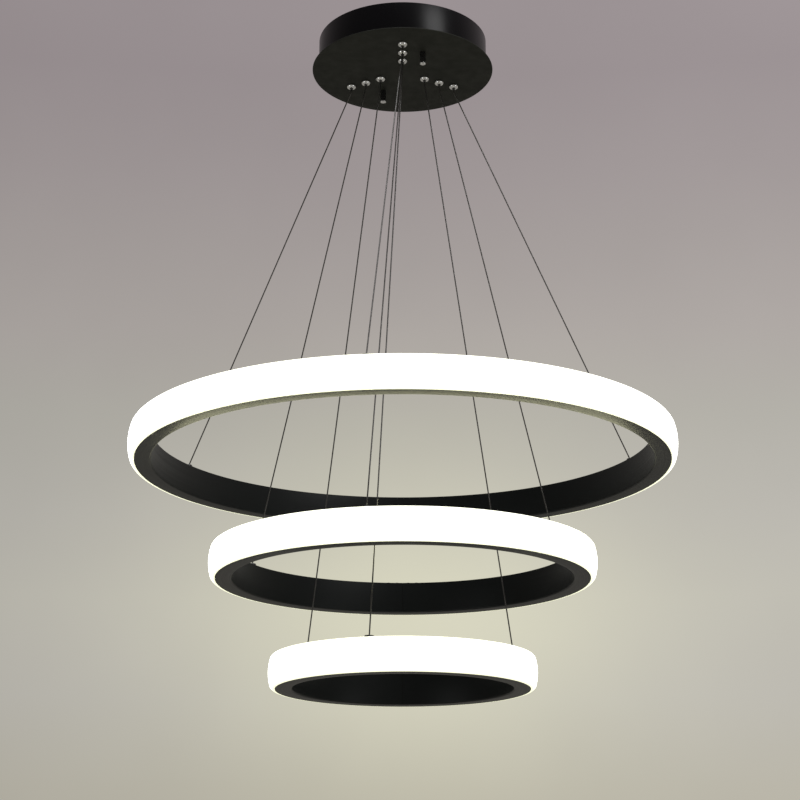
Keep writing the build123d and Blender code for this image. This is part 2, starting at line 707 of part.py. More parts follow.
    # splice_screws: pan heads on the channel's upper face, two each side of the seam
    with BuildPart() as splice_screws:
        with Locations(*[(x, y, ceiling) for x, y in splice_spots]):
            Cylinder(splice_head_radius, splice_head_height, align=(Align.CENTER, Align.CENTER, Align.MIN))
            Cylinder(splice_screw_radius, splice_screw_length, align=(Align.CENTER, Align.CENTER, Align.MAX))
    save(splice_screws, f"{ring_name}_splice_screws")
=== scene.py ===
import bpy, bmesh, json
import numpy as np
from math import radians, pi, tan, atan2, sqrt
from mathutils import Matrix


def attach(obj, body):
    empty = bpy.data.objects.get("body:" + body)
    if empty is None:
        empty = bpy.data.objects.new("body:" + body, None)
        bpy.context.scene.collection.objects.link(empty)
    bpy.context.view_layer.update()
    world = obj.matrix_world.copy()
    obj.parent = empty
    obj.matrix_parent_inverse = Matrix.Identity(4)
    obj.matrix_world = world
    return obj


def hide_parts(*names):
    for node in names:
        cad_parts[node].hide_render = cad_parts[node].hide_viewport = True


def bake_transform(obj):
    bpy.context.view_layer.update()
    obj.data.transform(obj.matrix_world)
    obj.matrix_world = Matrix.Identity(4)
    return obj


# Three glowing rings on nine thin wires under a round black canopy.
# Metres. The origin is on the ceiling, +Z is up and the camera looks along +Y.

bpy.context.scene.view_settings.view_transform = "Standard"
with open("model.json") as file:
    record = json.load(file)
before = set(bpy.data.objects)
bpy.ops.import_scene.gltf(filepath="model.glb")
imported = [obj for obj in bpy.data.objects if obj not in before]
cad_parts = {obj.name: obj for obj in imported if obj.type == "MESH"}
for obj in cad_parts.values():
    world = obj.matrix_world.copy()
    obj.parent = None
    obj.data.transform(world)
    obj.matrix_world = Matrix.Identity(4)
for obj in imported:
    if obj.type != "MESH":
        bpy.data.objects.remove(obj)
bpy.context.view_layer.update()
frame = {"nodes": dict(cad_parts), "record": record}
nodes = frame["nodes"]
record = frame["record"]
print("stage 1: frame loaded,", len(nodes), "nodes")

# shapes
def spot(radius, direction):
    # a place in the XY plane: radius along a direction in degrees from +X
    angle = np.radians(direction)
    return np.array([radius * np.cos(angle), radius * np.sin(angle)])


def roundedOutline(corners, radii, steps=6):
    # A closed outline in (radius, height). Each corner becomes an arc whose middle stands on the
    # corner's bisector, radius / sin(half angle) away, with points spread evenly between the tangents.
    corners = np.array(corners, float)
    size = np.array(radii, float)[:, None]
    back = np.roll(corners, 1, 0) - corners
    ahead = np.roll(corners, -1, 0) - corners
    back /= np.linalg.norm(back, axis=1)[:, None]
    ahead /= np.linalg.norm(ahead, axis=1)[:, None]
    half = np.arccos(np.clip((back * ahead).sum(1), -1, 1))[:, None] / 2
    bisector = back + ahead
    bisector /= np.linalg.norm(bisector, axis=1)[:, None]
    middle = corners + bisector * size / np.sin(half)
    first = (corners + back * size / np.tan(half) - middle) / size
    last = (corners + ahead * size / np.tan(half) - middle) / size
    turn = (pi - 2 * half)[:, :, None]
    share = np.linspace(0, 1, steps)[None, :, None]
    arcs = (np.sin((1 - share) * turn) * first[:, None] + np.sin(share * turn) * last[:, None]) / np.sin(turn)
    return (middle[:, None] + size[:, None] * arcs).reshape(-1, 2)


def arc(centre, radius, fromAngle, toAngle, steps):
    # points of a circle about a centre in (radius, height), angles in degrees from the outward axis
    angle = np.radians(np.linspace(fromAngle, toAngle, steps))
    return np.stack([centre[0] + radius * np.cos(angle), centre[1] + radius * np.sin(angle)], 1)


def spun(outline, steps, fromAngle=0.0, toAngle=360.0):
    # An outline (r, z) carried round the Z axis: x = r cos(a), y = r sin(a), z = z.
    # A full turn has no repeated column, because the grid is wrapped.
    full = abs(toAngle - fromAngle) >= 359.999
    angle = np.radians(np.linspace(fromAngle, toAngle, steps, endpoint=not full))
    outline = np.asarray(outline)
    return np.stack([
        outline[:, 0, None] * np.cos(angle)[None],
        outline[:, 0, None] * np.sin(angle)[None],
        np.repeat(outline[:, 1, None], len(angle), 1),
    ], 2)


def copies(grid, places):
    # the same grid at each (x, y) of places
    shift = np.concatenate([np.asarray(places), np.zeros((len(places), 1))], 1)
    return grid[None] + shift[:, None, None, :]


def gridPiece(name, grids, finish, wrapRows=False, uv=None, weld=False, sharp=35.0):
    # Each grid [row, column] of points, closed round its columns, becomes four-sided faces between
    # neighbours, facing to the right of a row-to-row step when columns run anticlockwise seen from
    # above. uv = (length along the rows, length along the columns), written per face corner.
    grids = np.asarray(grids, float)
    if grids.ndim == 3:
        grids = grids[None]
    count, rows, columns = grids.shape[:3]
    row = np.arange(rows if wrapRows else rows - 1)[:, None]
    column = np.arange(columns)[None]
    nextRow, nextColumn = (row + 1) % rows, (column + 1) % columns
    quads = np.stack([
        row * columns + column, row * columns + nextColumn,
        nextRow * columns + nextColumn, nextRow * columns + column,
    ], 2).reshape(-1, 4)
    faces = (quads[None] + (np.arange(count) * rows * columns)[:, None, None]).reshape(-1, 4).tolist()
    mesh = bpy.data.meshes.new(name)
    mesh.from_pydata(grids.reshape(-1, 3).tolist(), [], faces)
    if uv is not None:
        along, around = uv
        corners = [(around[:-1], along[:-1]), (around[1:], along[:-1]),
                   (around[1:], along[1:]), (around[:-1], along[1:])]
        pairs = [np.stack(np.broadcast_arrays(u[None], v[:, None]), 2) for u, v in corners]
        layer = mesh.uv_layers.new(name="grain")
        layer.data.foreach_set("uv", np.tile(np.stack(pairs, 2).reshape(-1, 2), (count, 1)).ravel())
    if weld:
        soft = bmesh.new()
        soft.from_mesh(mesh)
        bmesh.ops.remove_doubles(soft, verts=soft.verts, dist=2e-6)
        soft.to_mesh(mesh)
        soft.free()
    mesh.shade_smooth()
    mesh.set_sharp_from_angle(angle=radians(sharp))
    mesh.materials.append(finish)
    piece = bpy.data.objects.new(name, mesh)
    bpy.context.scene.collection.objects.link(piece)
    return piece


def lengths(outline, closed=True):
    # distance run along an outline at each of its points, and once more at the start if it is closed
    points = np.vstack([outline, outline[:1]]) if closed else outline
    return np.concatenate([[0], np.cumsum(np.linalg.norm(np.diff(points, axis=0), axis=1))])


def tube(path, tangents, across, radius, columns=12):
    # A circle carried along a path: point + radius (cos a * across + sin a * tangent x across),
    # closed at both ends by a row of points on the path itself.
    a = np.linspace(0, 2 * pi, columns, endpoint=False)[None, :, None]
    across = np.broadcast_to(across, path.shape)
    other = np.cross(tangents, across)
    ring = path[:, None] + radius * (np.cos(a) * across[:, None] + np.sin(a) * other[:, None])
    first, last = (np.repeat(end[:, None], columns, 1) for end in (path[:1], path[-1:]))
    return np.concatenate([first, ring, last])


def place(piece, body, slotName, *replaced):
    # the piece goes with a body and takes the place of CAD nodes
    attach(piece, body)
    if replaced:
        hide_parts(*replaced)
    return piece


# finishes
def newFinish(name, base, metallic=0.0, roughness=0.5, specular=None):
    material = bpy.data.materials.new(name)
    material.use_nodes = True
    tree = material.node_tree
    shader = tree.nodes["Principled BSDF"]
    shader.inputs["Base Color"].default_value = (*base, 1)
    shader.inputs["Metallic"].default_value = metallic
    shader.inputs["Roughness"].default_value = roughness
    if specular is not None:
        shader.inputs["Specular IOR Level"].default_value = specular
    return material, tree, shader


def grain(tree, scale, stretch=(1, 1, 1), detail=3.0, uvName=None):
    # noise on Object coordinates, or on the piece's own UV map where the grain follows the surface
    if uvName:
        source = tree.nodes.new("ShaderNodeUVMap")
        source.uv_map = uvName
        socket = source.outputs["UV"]
    else:
        source = tree.nodes.new("ShaderNodeTexCoord")
        socket = source.outputs["Object"]
    mapping = tree.nodes.new("ShaderNodeMapping")
    mapping.inputs["Scale"].default_value = stretch
    noise = tree.nodes.new("ShaderNodeTexNoise")
    noise.inputs["Scale"].default_value = scale
    noise.inputs["Detail"].default_value = detail
    tree.links.new(socket, mapping.inputs["Vector"])
    tree.links.new(mapping.outputs["Vector"], noise.inputs["Vector"])
    return noise.outputs["Fac"]


def spread(tree, socket, low, high, fromLow=0.3, fromHigh=0.7):
    # the noise's middle range carried to low..high
    node = tree.nodes.new("ShaderNodeMapRange")
    node.inputs["From Min"].default_value = fromLow
    node.inputs["From Max"].default_value = fromHigh
    node.inputs["To Min"].default_value = low
    node.inputs["To Max"].default_value = high
    tree.links.new(socket, node.inputs["Value"])
    return node.outputs["Result"]


def toneRamp(tree, socket, tones):
    # a colour that runs through tones, each at its own position along the socket's value
    ramp = tree.nodes.new("ShaderNodeValToRGB")
    for index, (position, tone) in enumerate(tones):
        element = ramp.color_ramp.elements[index] if index < 2 else ramp.color_ramp.elements.new(position)
        element.position = position
        element.color = (*tone, 1)
    tree.links.new(socket, ramp.inputs["Fac"])
    return ramp.outputs["Color"]


def tinted(tree, socket, dark, light, fromLow=0.3, fromHigh=0.7):
    # a colour between two tones
    return toneRamp(tree, socket, ((fromLow, dark), (fromHigh, light)))


def raised(tree, shader, socket, depth, strength=1.0):
    # height in metres from the socket, into the shader's normal
    bump = tree.nodes.new("ShaderNodeBump")
    bump.inputs["Strength"].default_value = strength
    bump.inputs["Distance"].default_value = depth
    tree.links.new(socket, bump.inputs["Height"])
    tree.links.new(bump.outputs["Normal"], shader.inputs["Normal"])


def stepNode(tree, kind, operation, *values):
    # one node of arithmetic; each value is a number, a tuple or another node's socket
    node = tree.nodes.new(kind)
    node.operation = operation
    for index, value in enumerate(values):
        if isinstance(value, bpy.types.NodeSocket):
            tree.links.new(value, node.inputs[index])
        else:
            node.inputs[index].default_value = value
    return node.outputs["Value" if kind == "ShaderNodeMath" or operation == "DOT_PRODUCT" else "Vector"]


def ofNumbers(tree, operation, *values):
    return stepNode(tree, "ShaderNodeMath", operation, *values)


def ofVectors(tree, operation, *values):
    return stepNode(tree, "ShaderNodeVectorMath", operation, *values)


def satinLacquer():
    # black lacquer over spun steel: faint orange peel, slightly uneven gloss
    values = {
        "base": (0.0012, 0.0012, 0.0018), "roughness": 0.3, "specular": 0.16,
        "gloss": (0.26, 0.34), "glossScale": 9.0, "peel": 420.0, "peelDepth": 0.00004,
    }
    material, tree, shader = newFinish("satinLacquer", values["base"],
                                       roughness=values["roughness"], specular=values["specular"])
    cloud = grain(tree, values["glossScale"])
    tree.links.new(spread(tree, cloud, *values["gloss"]), shader.inputs["Roughness"])
    raised(tree, shader, grain(tree, values["peel"], detail=1.0), values["peelDepth"])
    return material


def powderCoat():
    # fine matt powder on the plate: pale specks in a dark green-grey, with a broad unevenness
    values = {
        "dark": (0.0112, 0.0122, 0.0094), "light": (0.0172, 0.0184, 0.0150), "toneScale": 26.0,
        "roughness": 0.62, "specular": 0.14, "gloss": (0.56, 0.70), "glossScale": 60.0,
        "speck": 1500.0, "speckDepth": 0.00006,
    }
    material, tree, shader = newFinish("powderCoat", values["dark"],
                                       roughness=values["roughness"], specular=values["specular"])
    tone = grain(tree, values["toneScale"], detail=5.0)
    tree.links.new(tinted(tree, tone, values["dark"], values["light"]), shader.inputs["Base Color"])
    cloud = grain(tree, values["glossScale"])
    tree.links.new(spread(tree, cloud, *values["gloss"]), shader.inputs["Roughness"])
    raised(tree, shader, grain(tree, values["speck"], detail=2.0), values["speckDepth"])
    return material


def polishedChrome():
    # bright plating with a trace of handling in its gloss
    values = {
        "base": (0.66, 0.67, 0.68), "roughness": 0.08, "gloss": (0.05, 0.13), "glossScale": 180.0,
        "ripple": 350.0, "rippleDepth": 0.000008,
    }
    material, tree, shader = newFinish("polishedChrome", values["base"],
                                       metallic=1.0, roughness=values["roughness"])
    cloud = grain(tree, values["glossScale"])
    tree.links.new(spread(tree, cloud, *values["gloss"]), shader.inputs["Roughness"])
    raised(tree, shader, grain(tree, values["ripple"], detail=1.0), values["rippleDepth"])
    return material


def anodised():
    # black anodised profile: die lines run round the ring, across the outline's own length
    values = {
        "dark": (0.0008, 0.0018, 0.0018), "light": (0.0018, 0.0032, 0.0031), "toneScale": 14.0,
        "roughness": 0.44, "specular": 0.2, "gloss": (0.38, 0.52),
        "lines": (3.0, 2600.0, 1.0), "lineDepth": 0.00002,
    }
    material, tree, shader = newFinish("blackAnodised", values["dark"],
                                       roughness=values["roughness"], specular=values["specular"])
    lines = grain(tree, 1.0, stretch=values["lines"], detail=4.0, uvName="grain")
    tone = grain(tree, values["toneScale"], detail=4.0)
    tree.links.new(tinted(tree, tone, values["dark"], values["light"]), shader.inputs["Base Color"])
    tree.links.new(spread(tree, lines, *values["gloss"]), shader.inputs["Roughness"])
    raised(tree, shader, lines, values["lineDepth"])
    return material


def opalGlow():
    # opal acrylic lit from inside: white over its crown, pale warm green where it turns in at its edges
    values = {
        "base": (0.93, 0.94, 0.90), "roughness": 0.42, "specular": 0.3, "strength": 3.0,
        "glow": ((0.0, (0.264, 0.268, 0.172)), (0.16, (0.352, 0.355, 0.263)), (0.55, (0.98, 0.985, 0.96))),
        "mould": 900.0, "mouldDepth": 0.00001,
    }
    material, tree, shader = newFinish("opalGlow", values["base"],
                                       roughness=values["roughness"], specular=values["specular"])
    attribute = tree.nodes.new("ShaderNodeAttribute")
    attribute.attribute_name = "crown"
    glow = toneRamp(tree, attribute.outputs["Fac"], values["glow"])
    tree.links.new(glow, shader.inputs["Emission Color"])
    shader.inputs["Emission Strength"].default_value = values["strength"]
    raised(tree, shader, grain(tree, values["mould"], detail=1.0), values["mouldDepth"])
    return material


def sheathedStrand():
    # steel strands twisted under a clear sheath: height = sin(2 pi strands (u + v / (2 lay))), with u
    # once round the wire and v metres along it
    values = {
        "strands": 7.0, "lay": 0.009, "dark": (0.020, 0.019, 0.018), "light": (0.130, 0.127, 0.120),
        "roughness": 0.38, "metallic": 0.85, "depth": 0.00004, "coat": 0.6, "coatRoughness": 0.12,
    }
    material, tree, shader = newFinish("sheathedStrand", values["light"],
                                       metallic=values["metallic"], roughness=values["roughness"])
    source = tree.nodes.new("ShaderNodeUVMap")
    source.uv_map = "grain"
    split = tree.nodes.new("ShaderNodeSeparateXYZ")
    tree.links.new(source.outputs["UV"], split.inputs["Vector"])
    around = ofNumbers(tree, "MULTIPLY", split.outputs["X"], values["strands"])
    perMetre = values["strands"] * 0.5 / values["lay"]
    turns = ofNumbers(tree, "MULTIPLY_ADD", split.outputs["Y"], perMetre, around)
    height = ofNumbers(tree, "SINE", ofNumbers(tree, "MULTIPLY", turns, 2 * pi))
    shade = spread(tree, height, 0.0, 1.0, -1.0, 1.0)
    tone = tinted(tree, shade, values["dark"], values["light"], 0.15, 0.9)
    tree.links.new(tone, shader.inputs["Base Color"])
    raised(tree, shader, height, values["depth"])
    shader.inputs["Coat Weight"].default_value = values["coat"]
    shader.inputs["Coat Roughness"].default_value = values["coatRoughness"]
    return material


def plating(name, dark, light, roughLow, roughHigh, metallic=1.0):
    # plated or machined metal: clouded tone and gloss with a fine tooth
    values = {"cloudScale": 240.0, "tooth": 1400.0, "toothDepth": 0.00001}
    material, tree, shader = newFinish(name, light, metallic=metallic, roughness=roughLow)
    cloud = grain(tree, values["cloudScale"], detail=4.0)
    tree.links.new(tinted(tree, cloud, dark, light), shader.inputs["Base Color"])
    tree.links.new(spread(tree, cloud, roughHigh, roughLow), shader.inputs["Roughness"])
    raised(tree, shader, grain(tree, values["tooth"], detail=1.0), values["toothDepth"])
    return material


def moulded(name, dark, light, roughness=0.45):
    # moulded or coated surface: slow shade changes and a fine mould texture
    values = {"toneScale": 45.0, "glossScale": 120.0, "smoother": 0.05, "rougher": 0.07,
              "tooth": 1100.0, "toothDepth": 0.00003}
    material, tree, shader = newFinish(name, light, roughness=roughness)
    tone = grain(tree, values["toneScale"], detail=4.0)
    tree.links.new(tinted(tree, tone, dark, light), shader.inputs["Base Color"])
    low, high = roughness - values["smoother"], roughness + values["rougher"]
    tree.links.new(spread(tree, grain(tree, values["glossScale"]), low, high), shader.inputs["Roughness"])
    raised(tree, shader, grain(tree, values["tooth"], detail=2.0), values["toothDepth"])
    return material


finishes = {
    "satin_black": satinLacquer(),
    "matt_black": powderCoat(),
    "polished_chrome": polishedChrome(),
    "black_aluminium": anodised(),
    "opal_acrylic": opalGlow(),
    "clear_wire": sheathedStrand(),
    "zinc_steel": plating("zincPlate", (0.42, 0.43, 0.44), (0.62, 0.62, 0.60), 0.28, 0.44),
    "dark_nickel": plating("darkNickel", (0.07, 0.07, 0.072), (0.13, 0.13, 0.13), 0.24, 0.36),
    "bare_aluminium": plating("bareAluminium", (0.62, 0.63, 0.64), (0.76, 0.76, 0.77), 0.32, 0.48),
    "white_plastic": moulded("whitePlastic", (0.74, 0.74, 0.71), (0.82, 0.82, 0.80)),
    "terminal_plastic": moulded("terminalPlastic", (0.68, 0.66, 0.58), (0.76, 0.74, 0.67), 0.38),
    "board_green": moulded("solderMask", (0.020, 0.13, 0.050), (0.045, 0.24, 0.095), 0.34),
    "tape_white": moulded("tapeWhite", (0.78, 0.78, 0.75), (0.86, 0.86, 0.84), 0.4),
    "led_yellow": moulded("lampPhosphor", (0.80, 0.60, 0.16), (0.90, 0.74, 0.26), 0.3),
    "black_nut": plating("blackNut", (0.006, 0.006, 0.006), (0.012, 0.012, 0.012), 0.22, 0.34, metallic=0.0),
}
for part in record["subparts"]:
    for holder in nodes[part["node"]].material_slots:
        holder.material = finishes[part["material_slot"]]
print("stage 2: finishes made,", len(finishes))

# camera, light and background
view = {"place": (-0.0040, -2.5515, -1.3659), "pitch": 0.2960, "lens": 81.0, "sensor": 36.0, "reach": 60.0}
cameraData = bpy.data.cameras.new("camera")
cameraData.sensor_width = view["sensor"]
cameraData.lens = view["lens"]
cameraData.clip_end = view["reach"]
camera = bpy.data.objects.new("camera", cameraData)
camera.location = view["place"]
camera.rotation_euler = (pi / 2 + view["pitch"], 0, 0)
bpy.context.scene.collection.objects.link(camera)
bpy.context.scene.camera = camera

backdrop = {
    # plaster tone by height of the line of sight, from level to 29 degrees up
    "tones": ((0.00, (0.430, 0.410, 0.350)), (0.17, (0.456, 0.434, 0.372)), (0.27, (0.474, 0.456, 0.413)),
              (0.38, (0.491, 0.474, 0.423)), (0.47, (0.462, 0.445, 0.407)), (0.58, (0.423, 0.407, 0.371)),
              (0.67, (0.402, 0.371, 0.352)), (0.77, (0.366, 0.332, 0.323)), (0.84, (0.342, 0.305, 0.305)),
              (0.94, (0.314, 0.275, 0.283)), (1.00, (0.323, 0.283, 0.292))),
    "top": 0.485, "lean": 0.30, "cloud": 0.10, "cloudScale": 9.0,
    # the room on the viewer's side is darker, and the change runs over this stretch of y
    "roomShade": 0.55, "roomEdge": (-0.3, 0.3),
    # the rings' own light on the wall behind them
    "glow": (0.190, 0.192, 0.100), "glowMiddle": (0.005, 0.98, 0.172), "glowSpread": (0.088, 0.50, 0.066),
    "light": (0.62, 0.60, 0.57),
}


def studioWorld(values):
    # Seen colour = (tone by height + glow * exp(-d.d / 2)) * (1 + lean x + cloud noise), where d is the
    # way from the glow's middle in spreads, and darker by roomShade on the viewer's side of the room.
    # Soft light on the part is one even tone.
    world = bpy.data.worlds.new("studio")
    world.use_nodes = True
    tree = world.node_tree
    tree.nodes.clear()
    direction = tree.nodes.new("ShaderNodeTexCoord").outputs["Generated"]
    axes = tree.nodes.new("ShaderNodeSeparateXYZ")
    tree.links.new(direction, axes.inputs["Vector"])
    plaster = toneRamp(tree, spread(tree, axes.outputs["Z"], 0.0, 1.0, 0.0, values["top"]), values["tones"])
    away = ofVectors(tree, "SUBTRACT", direction, values["glowMiddle"])
    away = ofVectors(tree, "DIVIDE", away, values["glowSpread"])
    square = ofVectors(tree, "DOT_PRODUCT", away, away)
    glow = ofNumbers(tree, "EXPONENT", ofNumbers(tree, "MULTIPLY", square, -0.5))
    tone = ofVectors(tree, "MULTIPLY_ADD", values["glow"], glow, plaster)
    noise = tree.nodes.new("ShaderNodeTexNoise")
    noise.inputs["Scale"].default_value = values["cloudScale"]
    noise.inputs["Detail"].default_value = 3.0
    tree.links.new(direction, noise.inputs["Vector"])
    even = ofNumbers(tree, "MULTIPLY_ADD", axes.outputs["X"], values["lean"], 1 - values["cloud"] / 2)
    even = ofNumbers(tree, "MULTIPLY_ADD", noise.outputs["Fac"], values["cloud"], even)
    room = spread(tree, axes.outputs["Y"], values["roomShade"], 1.0, *values["roomEdge"])
    even = ofNumbers(tree, "MULTIPLY", even, room)
    path = tree.nodes.new("ShaderNodeLightPath")
    sharp = ofNumbers(tree, "MAXIMUM", path.outputs["Is Camera Ray"], path.outputs["Is Glossy Ray"])
    sharp = ofNumbers(tree, "MAXIMUM", sharp, path.outputs["Is Transmission Ray"])
    soft = tree.nodes.new("ShaderNodeBackground")
    soft.inputs["Color"].default_value = (*values["light"], 1)
    seen = tree.nodes.new("ShaderNodeBackground")
    tree.links.new(ofVectors(tree, "MULTIPLY", tone, even), seen.inputs["Color"])
    mix = tree.nodes.new("ShaderNodeMixShader")
    tree.links.new(sharp, mix.inputs["Fac"])
    tree.links.new(soft.outputs["Background"], mix.inputs[1])
    tree.links.new(seen.outputs["Background"], mix.inputs[2])
    output = tree.nodes.new("ShaderNodeOutputWorld")
    tree.links.new(mix.outputs["Shader"], output.inputs["Surface"])
    return world


bpy.context.scene.world = studioWorld(backdrop)


def softLamp(name, location, target, size, power, colour=(1.0, 1.0, 1.0)):
    # a flat lamp that faces its target
    data = bpy.data.lights.new(name, "AREA")
    data.shape = "RECTANGLE"
    data.size, data.size_y = size
    data.energy = power
    data.color = colour
    lamp = bpy.data.objects.new(name, data)
    aim = np.array(target, float) - np.array(location, float)
    aim /= np.linalg.norm(aim)
    lamp.location = location
    lamp.rotation_euler = (np.arccos(-aim[2]), 0, atan2(aim[1], aim[0]) - pi / 2)
    lamp.visible_camera = False
    bpy.context.scene.collection.objects.link(lamp)
    return lamp


softLamp("lampRight", (1.75, -1.95, 1.15), (0, 0, -0.1), (1.1, 1.1), 27)
softLamp("lampLeftLow", (-2.2, -1.6, -1.6), (0, 0, -0.4), (0.9, 0.9), 8)
softLamp("lampRightLow", (2.2, -1.6, -1.6), (0, 0, -0.4), (0.9, 0.9), 8)
# the glow that the near stretch of the large ring's underside gets from inside the rings
softLamp("lampBetween", (0, 0.03, -0.768), (0, -0.4, -0.75), (0.66, 0.07), 0.8, (1.0, 0.98, 0.62))
softLamp("lampOver", (0, -0.8, 2.2), (0, -0.3, -0.3), (1.4, 1.4), 25)

ground = {
    "reach": 50.0, "height": -6.0, "base": (0.56, 0.545, 0.51), "roughness": 0.85, "specular": 0.2,
    "dark": (0.55, 0.535, 0.50), "light": (0.57, 0.555, 0.52), "toneScale": 3.0,
}


def paleFloor(size):
    # a square far below, with its corners at plus and minus reach
    reach, height = size["reach"], size["height"]
    corners = [(x * reach, y * reach, height) for x, y in ((-1, -1), (1, -1), (1, 1), (-1, 1))]
    mesh = bpy.data.meshes.new("floor")
    mesh.from_pydata(corners, [], [(0, 1, 2, 3)])
    material, tree, shader = newFinish("paleFloor", size["base"],
                                       roughness=size["roughness"], specular=size["specular"])
    tone = grain(tree, size["toneScale"])
    tree.links.new(tinted(tree, tone, size["dark"], size["light"]), shader.inputs["Base Color"])
    mesh.materials.append(material)
    piece = bpy.data.objects.new("floor", mesh)
    bpy.context.scene.collection.objects.link(piece)
    return piece


floor = paleFloor(ground)
print("stage 3: camera and studio set")

# canopy
canopy = {
    "underside": -0.050, "plateTop": -0.048, "plateRadius": 0.141, "plateRound": 0.0008,
    "wallRadius": 0.131, "wall": 0.0012, "wallTop": -0.0005, "footRound": 0.0025, "flange": 0.011,
}


def wallOutline(size):
    # an L in (radius, height): up the outside, over the rim, down the inside and along the flange
    outside, inside = size["wallRadius"], size["wallRadius"] - size["wall"]
    foot, lip = size["plateTop"], size["wallRadius"] - size["flange"]
    return roundedOutline(
        [(lip, foot), (outside, foot), (outside, size["wallTop"]), (inside, size["wallTop"]),
         (inside, foot + size["wall"]), (lip, foot + size["wall"])],
        [0.0003, size["footRound"], 0.0004, 0.0004, 0.0013, 0.0003])


wallPiece = gridPiece("canopyWall", spun(wallOutline(canopy), 256), finishes["satin_black"], wrapRows=True)
place(wallPiece, "canopy", "satin_black", "canopy_wall")

# the wires leave the plate on three radial lines, those of the large ring furthest out
wireLines = {"near": -90, "right": 30, "left": 150}
gripRadii = {"large": 0.094, "middle": 0.067, "small": 0.040}
gripSpots = np.array([spot(radius, line) for radius in gripRadii.values() for line in wireLines.values()])
studSpots = np.array([spot(0.072, direction) for direction in (295.4, 115.4)])
plateHoles = {"grip": 0.0051, "stud": 0.0024, "low": -0.06, "high": -0.04}


def plateOutline(size):
    # half of the disc's section, from the axis out, round its rounded rim and back
    r, c, low, high = size["plateRadius"], size["plateRound"], size["underside"], size["plateTop"]
    return np.vstack([
        np.stack([np.linspace(0, r - c, 12), np.full(12, low)], 1),
        arc((r - c, low + c), c, -90, 0, 6)[1:], arc((r - c, high - c), c, 0, 90, 6),
        np.stack([np.linspace(r - c, 0, 12)[1:], np.full(11, high)], 1),
    ])


def pierce(piece, places, radii, low, high, steps=40):
    # round holes through a piece, with one cylinder for each place
    angle = np.linspace(0, 2 * pi, steps, endpoint=False)
    cutter = bmesh.new()
    for (x, y), radius in zip(places, radii):
        ring = [cutter.verts.new((x + radius * np.cos(a), y + radius * np.sin(a), low)) for a in angle]
        made = bmesh.ops.extrude_face_region(cutter, geom=[cutter.faces.new(ring)])
        top = [v for v in made["geom"] if isinstance(v, bmesh.types.BMVert)]
        bmesh.ops.translate(cutter, verts=top, vec=(0, 0, high - low))
    bmesh.ops.recalc_face_normals(cutter, faces=cutter.faces)
    mesh = bpy.data.meshes.new("cutter")
    cutter.to_mesh(mesh)
    cutter.free()
    tool = bpy.data.objects.new("cutter", mesh)
    bpy.context.scene.collection.objects.link(tool)
    modifier = piece.modifiers.new("holes", "BOOLEAN")
    modifier.object = tool
    modifier.operation = "DIFFERENCE"
    modifier.solver = "EXACT"
    bpy.context.view_layer.update()
    cut = bpy.data.meshes.new_from_object(piece.evaluated_get(bpy.context.evaluated_depsgraph_get()))
    piece.modifiers.clear()
    cut.name = piece.data.name + "Cut"
    piece.data = cut
    bpy.data.objects.remove(tool)
    cut.shade_smooth()
    cut.set_sharp_from_angle(angle=radians(35))


platePiece = gridPiece("canopyPlate", spun(plateOutline(canopy), 256), finishes["matt_black"], weld=True)
holeRadii = [plateHoles["grip"]] * len(gripSpots) + [plateHoles["stud"]] * len(studSpots)
pierce(platePiece, np.vstack([gripSpots, studSpots]), holeRadii, plateHoles["low"], plateHoles["high"])
place(platePiece, "canopy", "matt_black", "canopy_plate")


def thread(radius, low, high, pitch, depth, columns, chamfer=0.0004):
    # A screw thread: r = radius - depth * (1 + cos(2 pi (z / pitch - a / 2 pi))) / 2,
    # drawn in at both ends, and closed to the axis there.
    rows = int((high - low) / pitch * 6) + 1
    z = np.linspace(low, high, rows)
    a = np.linspace(0, 2 * pi, columns, endpoint=False)
    ridge = radius - depth * (1 + np.cos(2 * pi * (z[:, None] / pitch - a[None] / (2 * pi)))) / 2
    end = np.clip(np.minimum(z - low, high - z) / chamfer, 0, 1)[:, None]
    r = ridge - (1 - end) * depth
    grid = np.stack([r * np.cos(a), r * np.sin(a), np.broadcast_to(z[:, None], r.shape)], 2)
    ends = np.zeros((1, columns, 3))
    return np.vstack([ends + [0, 0, low], grid, ends + [0, 0, high]])


weldStuds = {
    "radius": 0.0015, "foot": -0.0481, "pitch": 0.0005, "depth": 0.00018,
    "flangeRise": 0.0052, "earRise": 0.0070, "flange": 0.1245,
    # the middle's radius and direction, and half the studs' spacing and its direction
    "driver": (0.074, 210, 0.055, 120), "terminal": (0.078, 330, 0.021, 240),
}


def weldStudPlaces(size):
    # four on the wall's flange, and two on each side of the driver's and the terminal's middle
    flange = [spot(size["flange"], -90 + 90 * (k + 0.5)) for k in range(4)]
    ears = []
    for radius, direction, half, along in (size["driver"], size["terminal"]):
        ears += [spot(radius, direction) + side * spot(half, along) for side in (-1, 1)]
    return flange, ears


flangeSpots, earSpots = weldStudPlaces(weldStuds)
for label, spots, rise in (("flangeStuds", flangeSpots, "flangeRise"), ("earStuds", earSpots, "earRise")):
    low, high = weldStuds["foot"], weldStuds["foot"] + weldStuds[rise]
    stud = thread(weldStuds["radius"], low, high, weldStuds["pitch"], weldStuds["depth"], 20)
    place(gridPiece(label, copies(stud, spots), finishes["zinc_steel"], weld=True), "canopy", "zinc_steel")
print("stage 4: canopy made")

# grips, plungers and cap nuts
grip = {
    "capRadius": 0.0075, "capBottom": -0.055, "capTop": -0.0500, "capRound": 0.0042, "edge": 0.0003,
    "bore": 0.0026, "boreTop": -0.0495, "barrel": 0.005, "barrelTop": -0.034, "chamfer": (0.0008, 0.0006),
    "mouth": 0.0012, "mouthDepth": 0.0015, "pitch": 0.0010, "threadDepth": 0.0003,
}


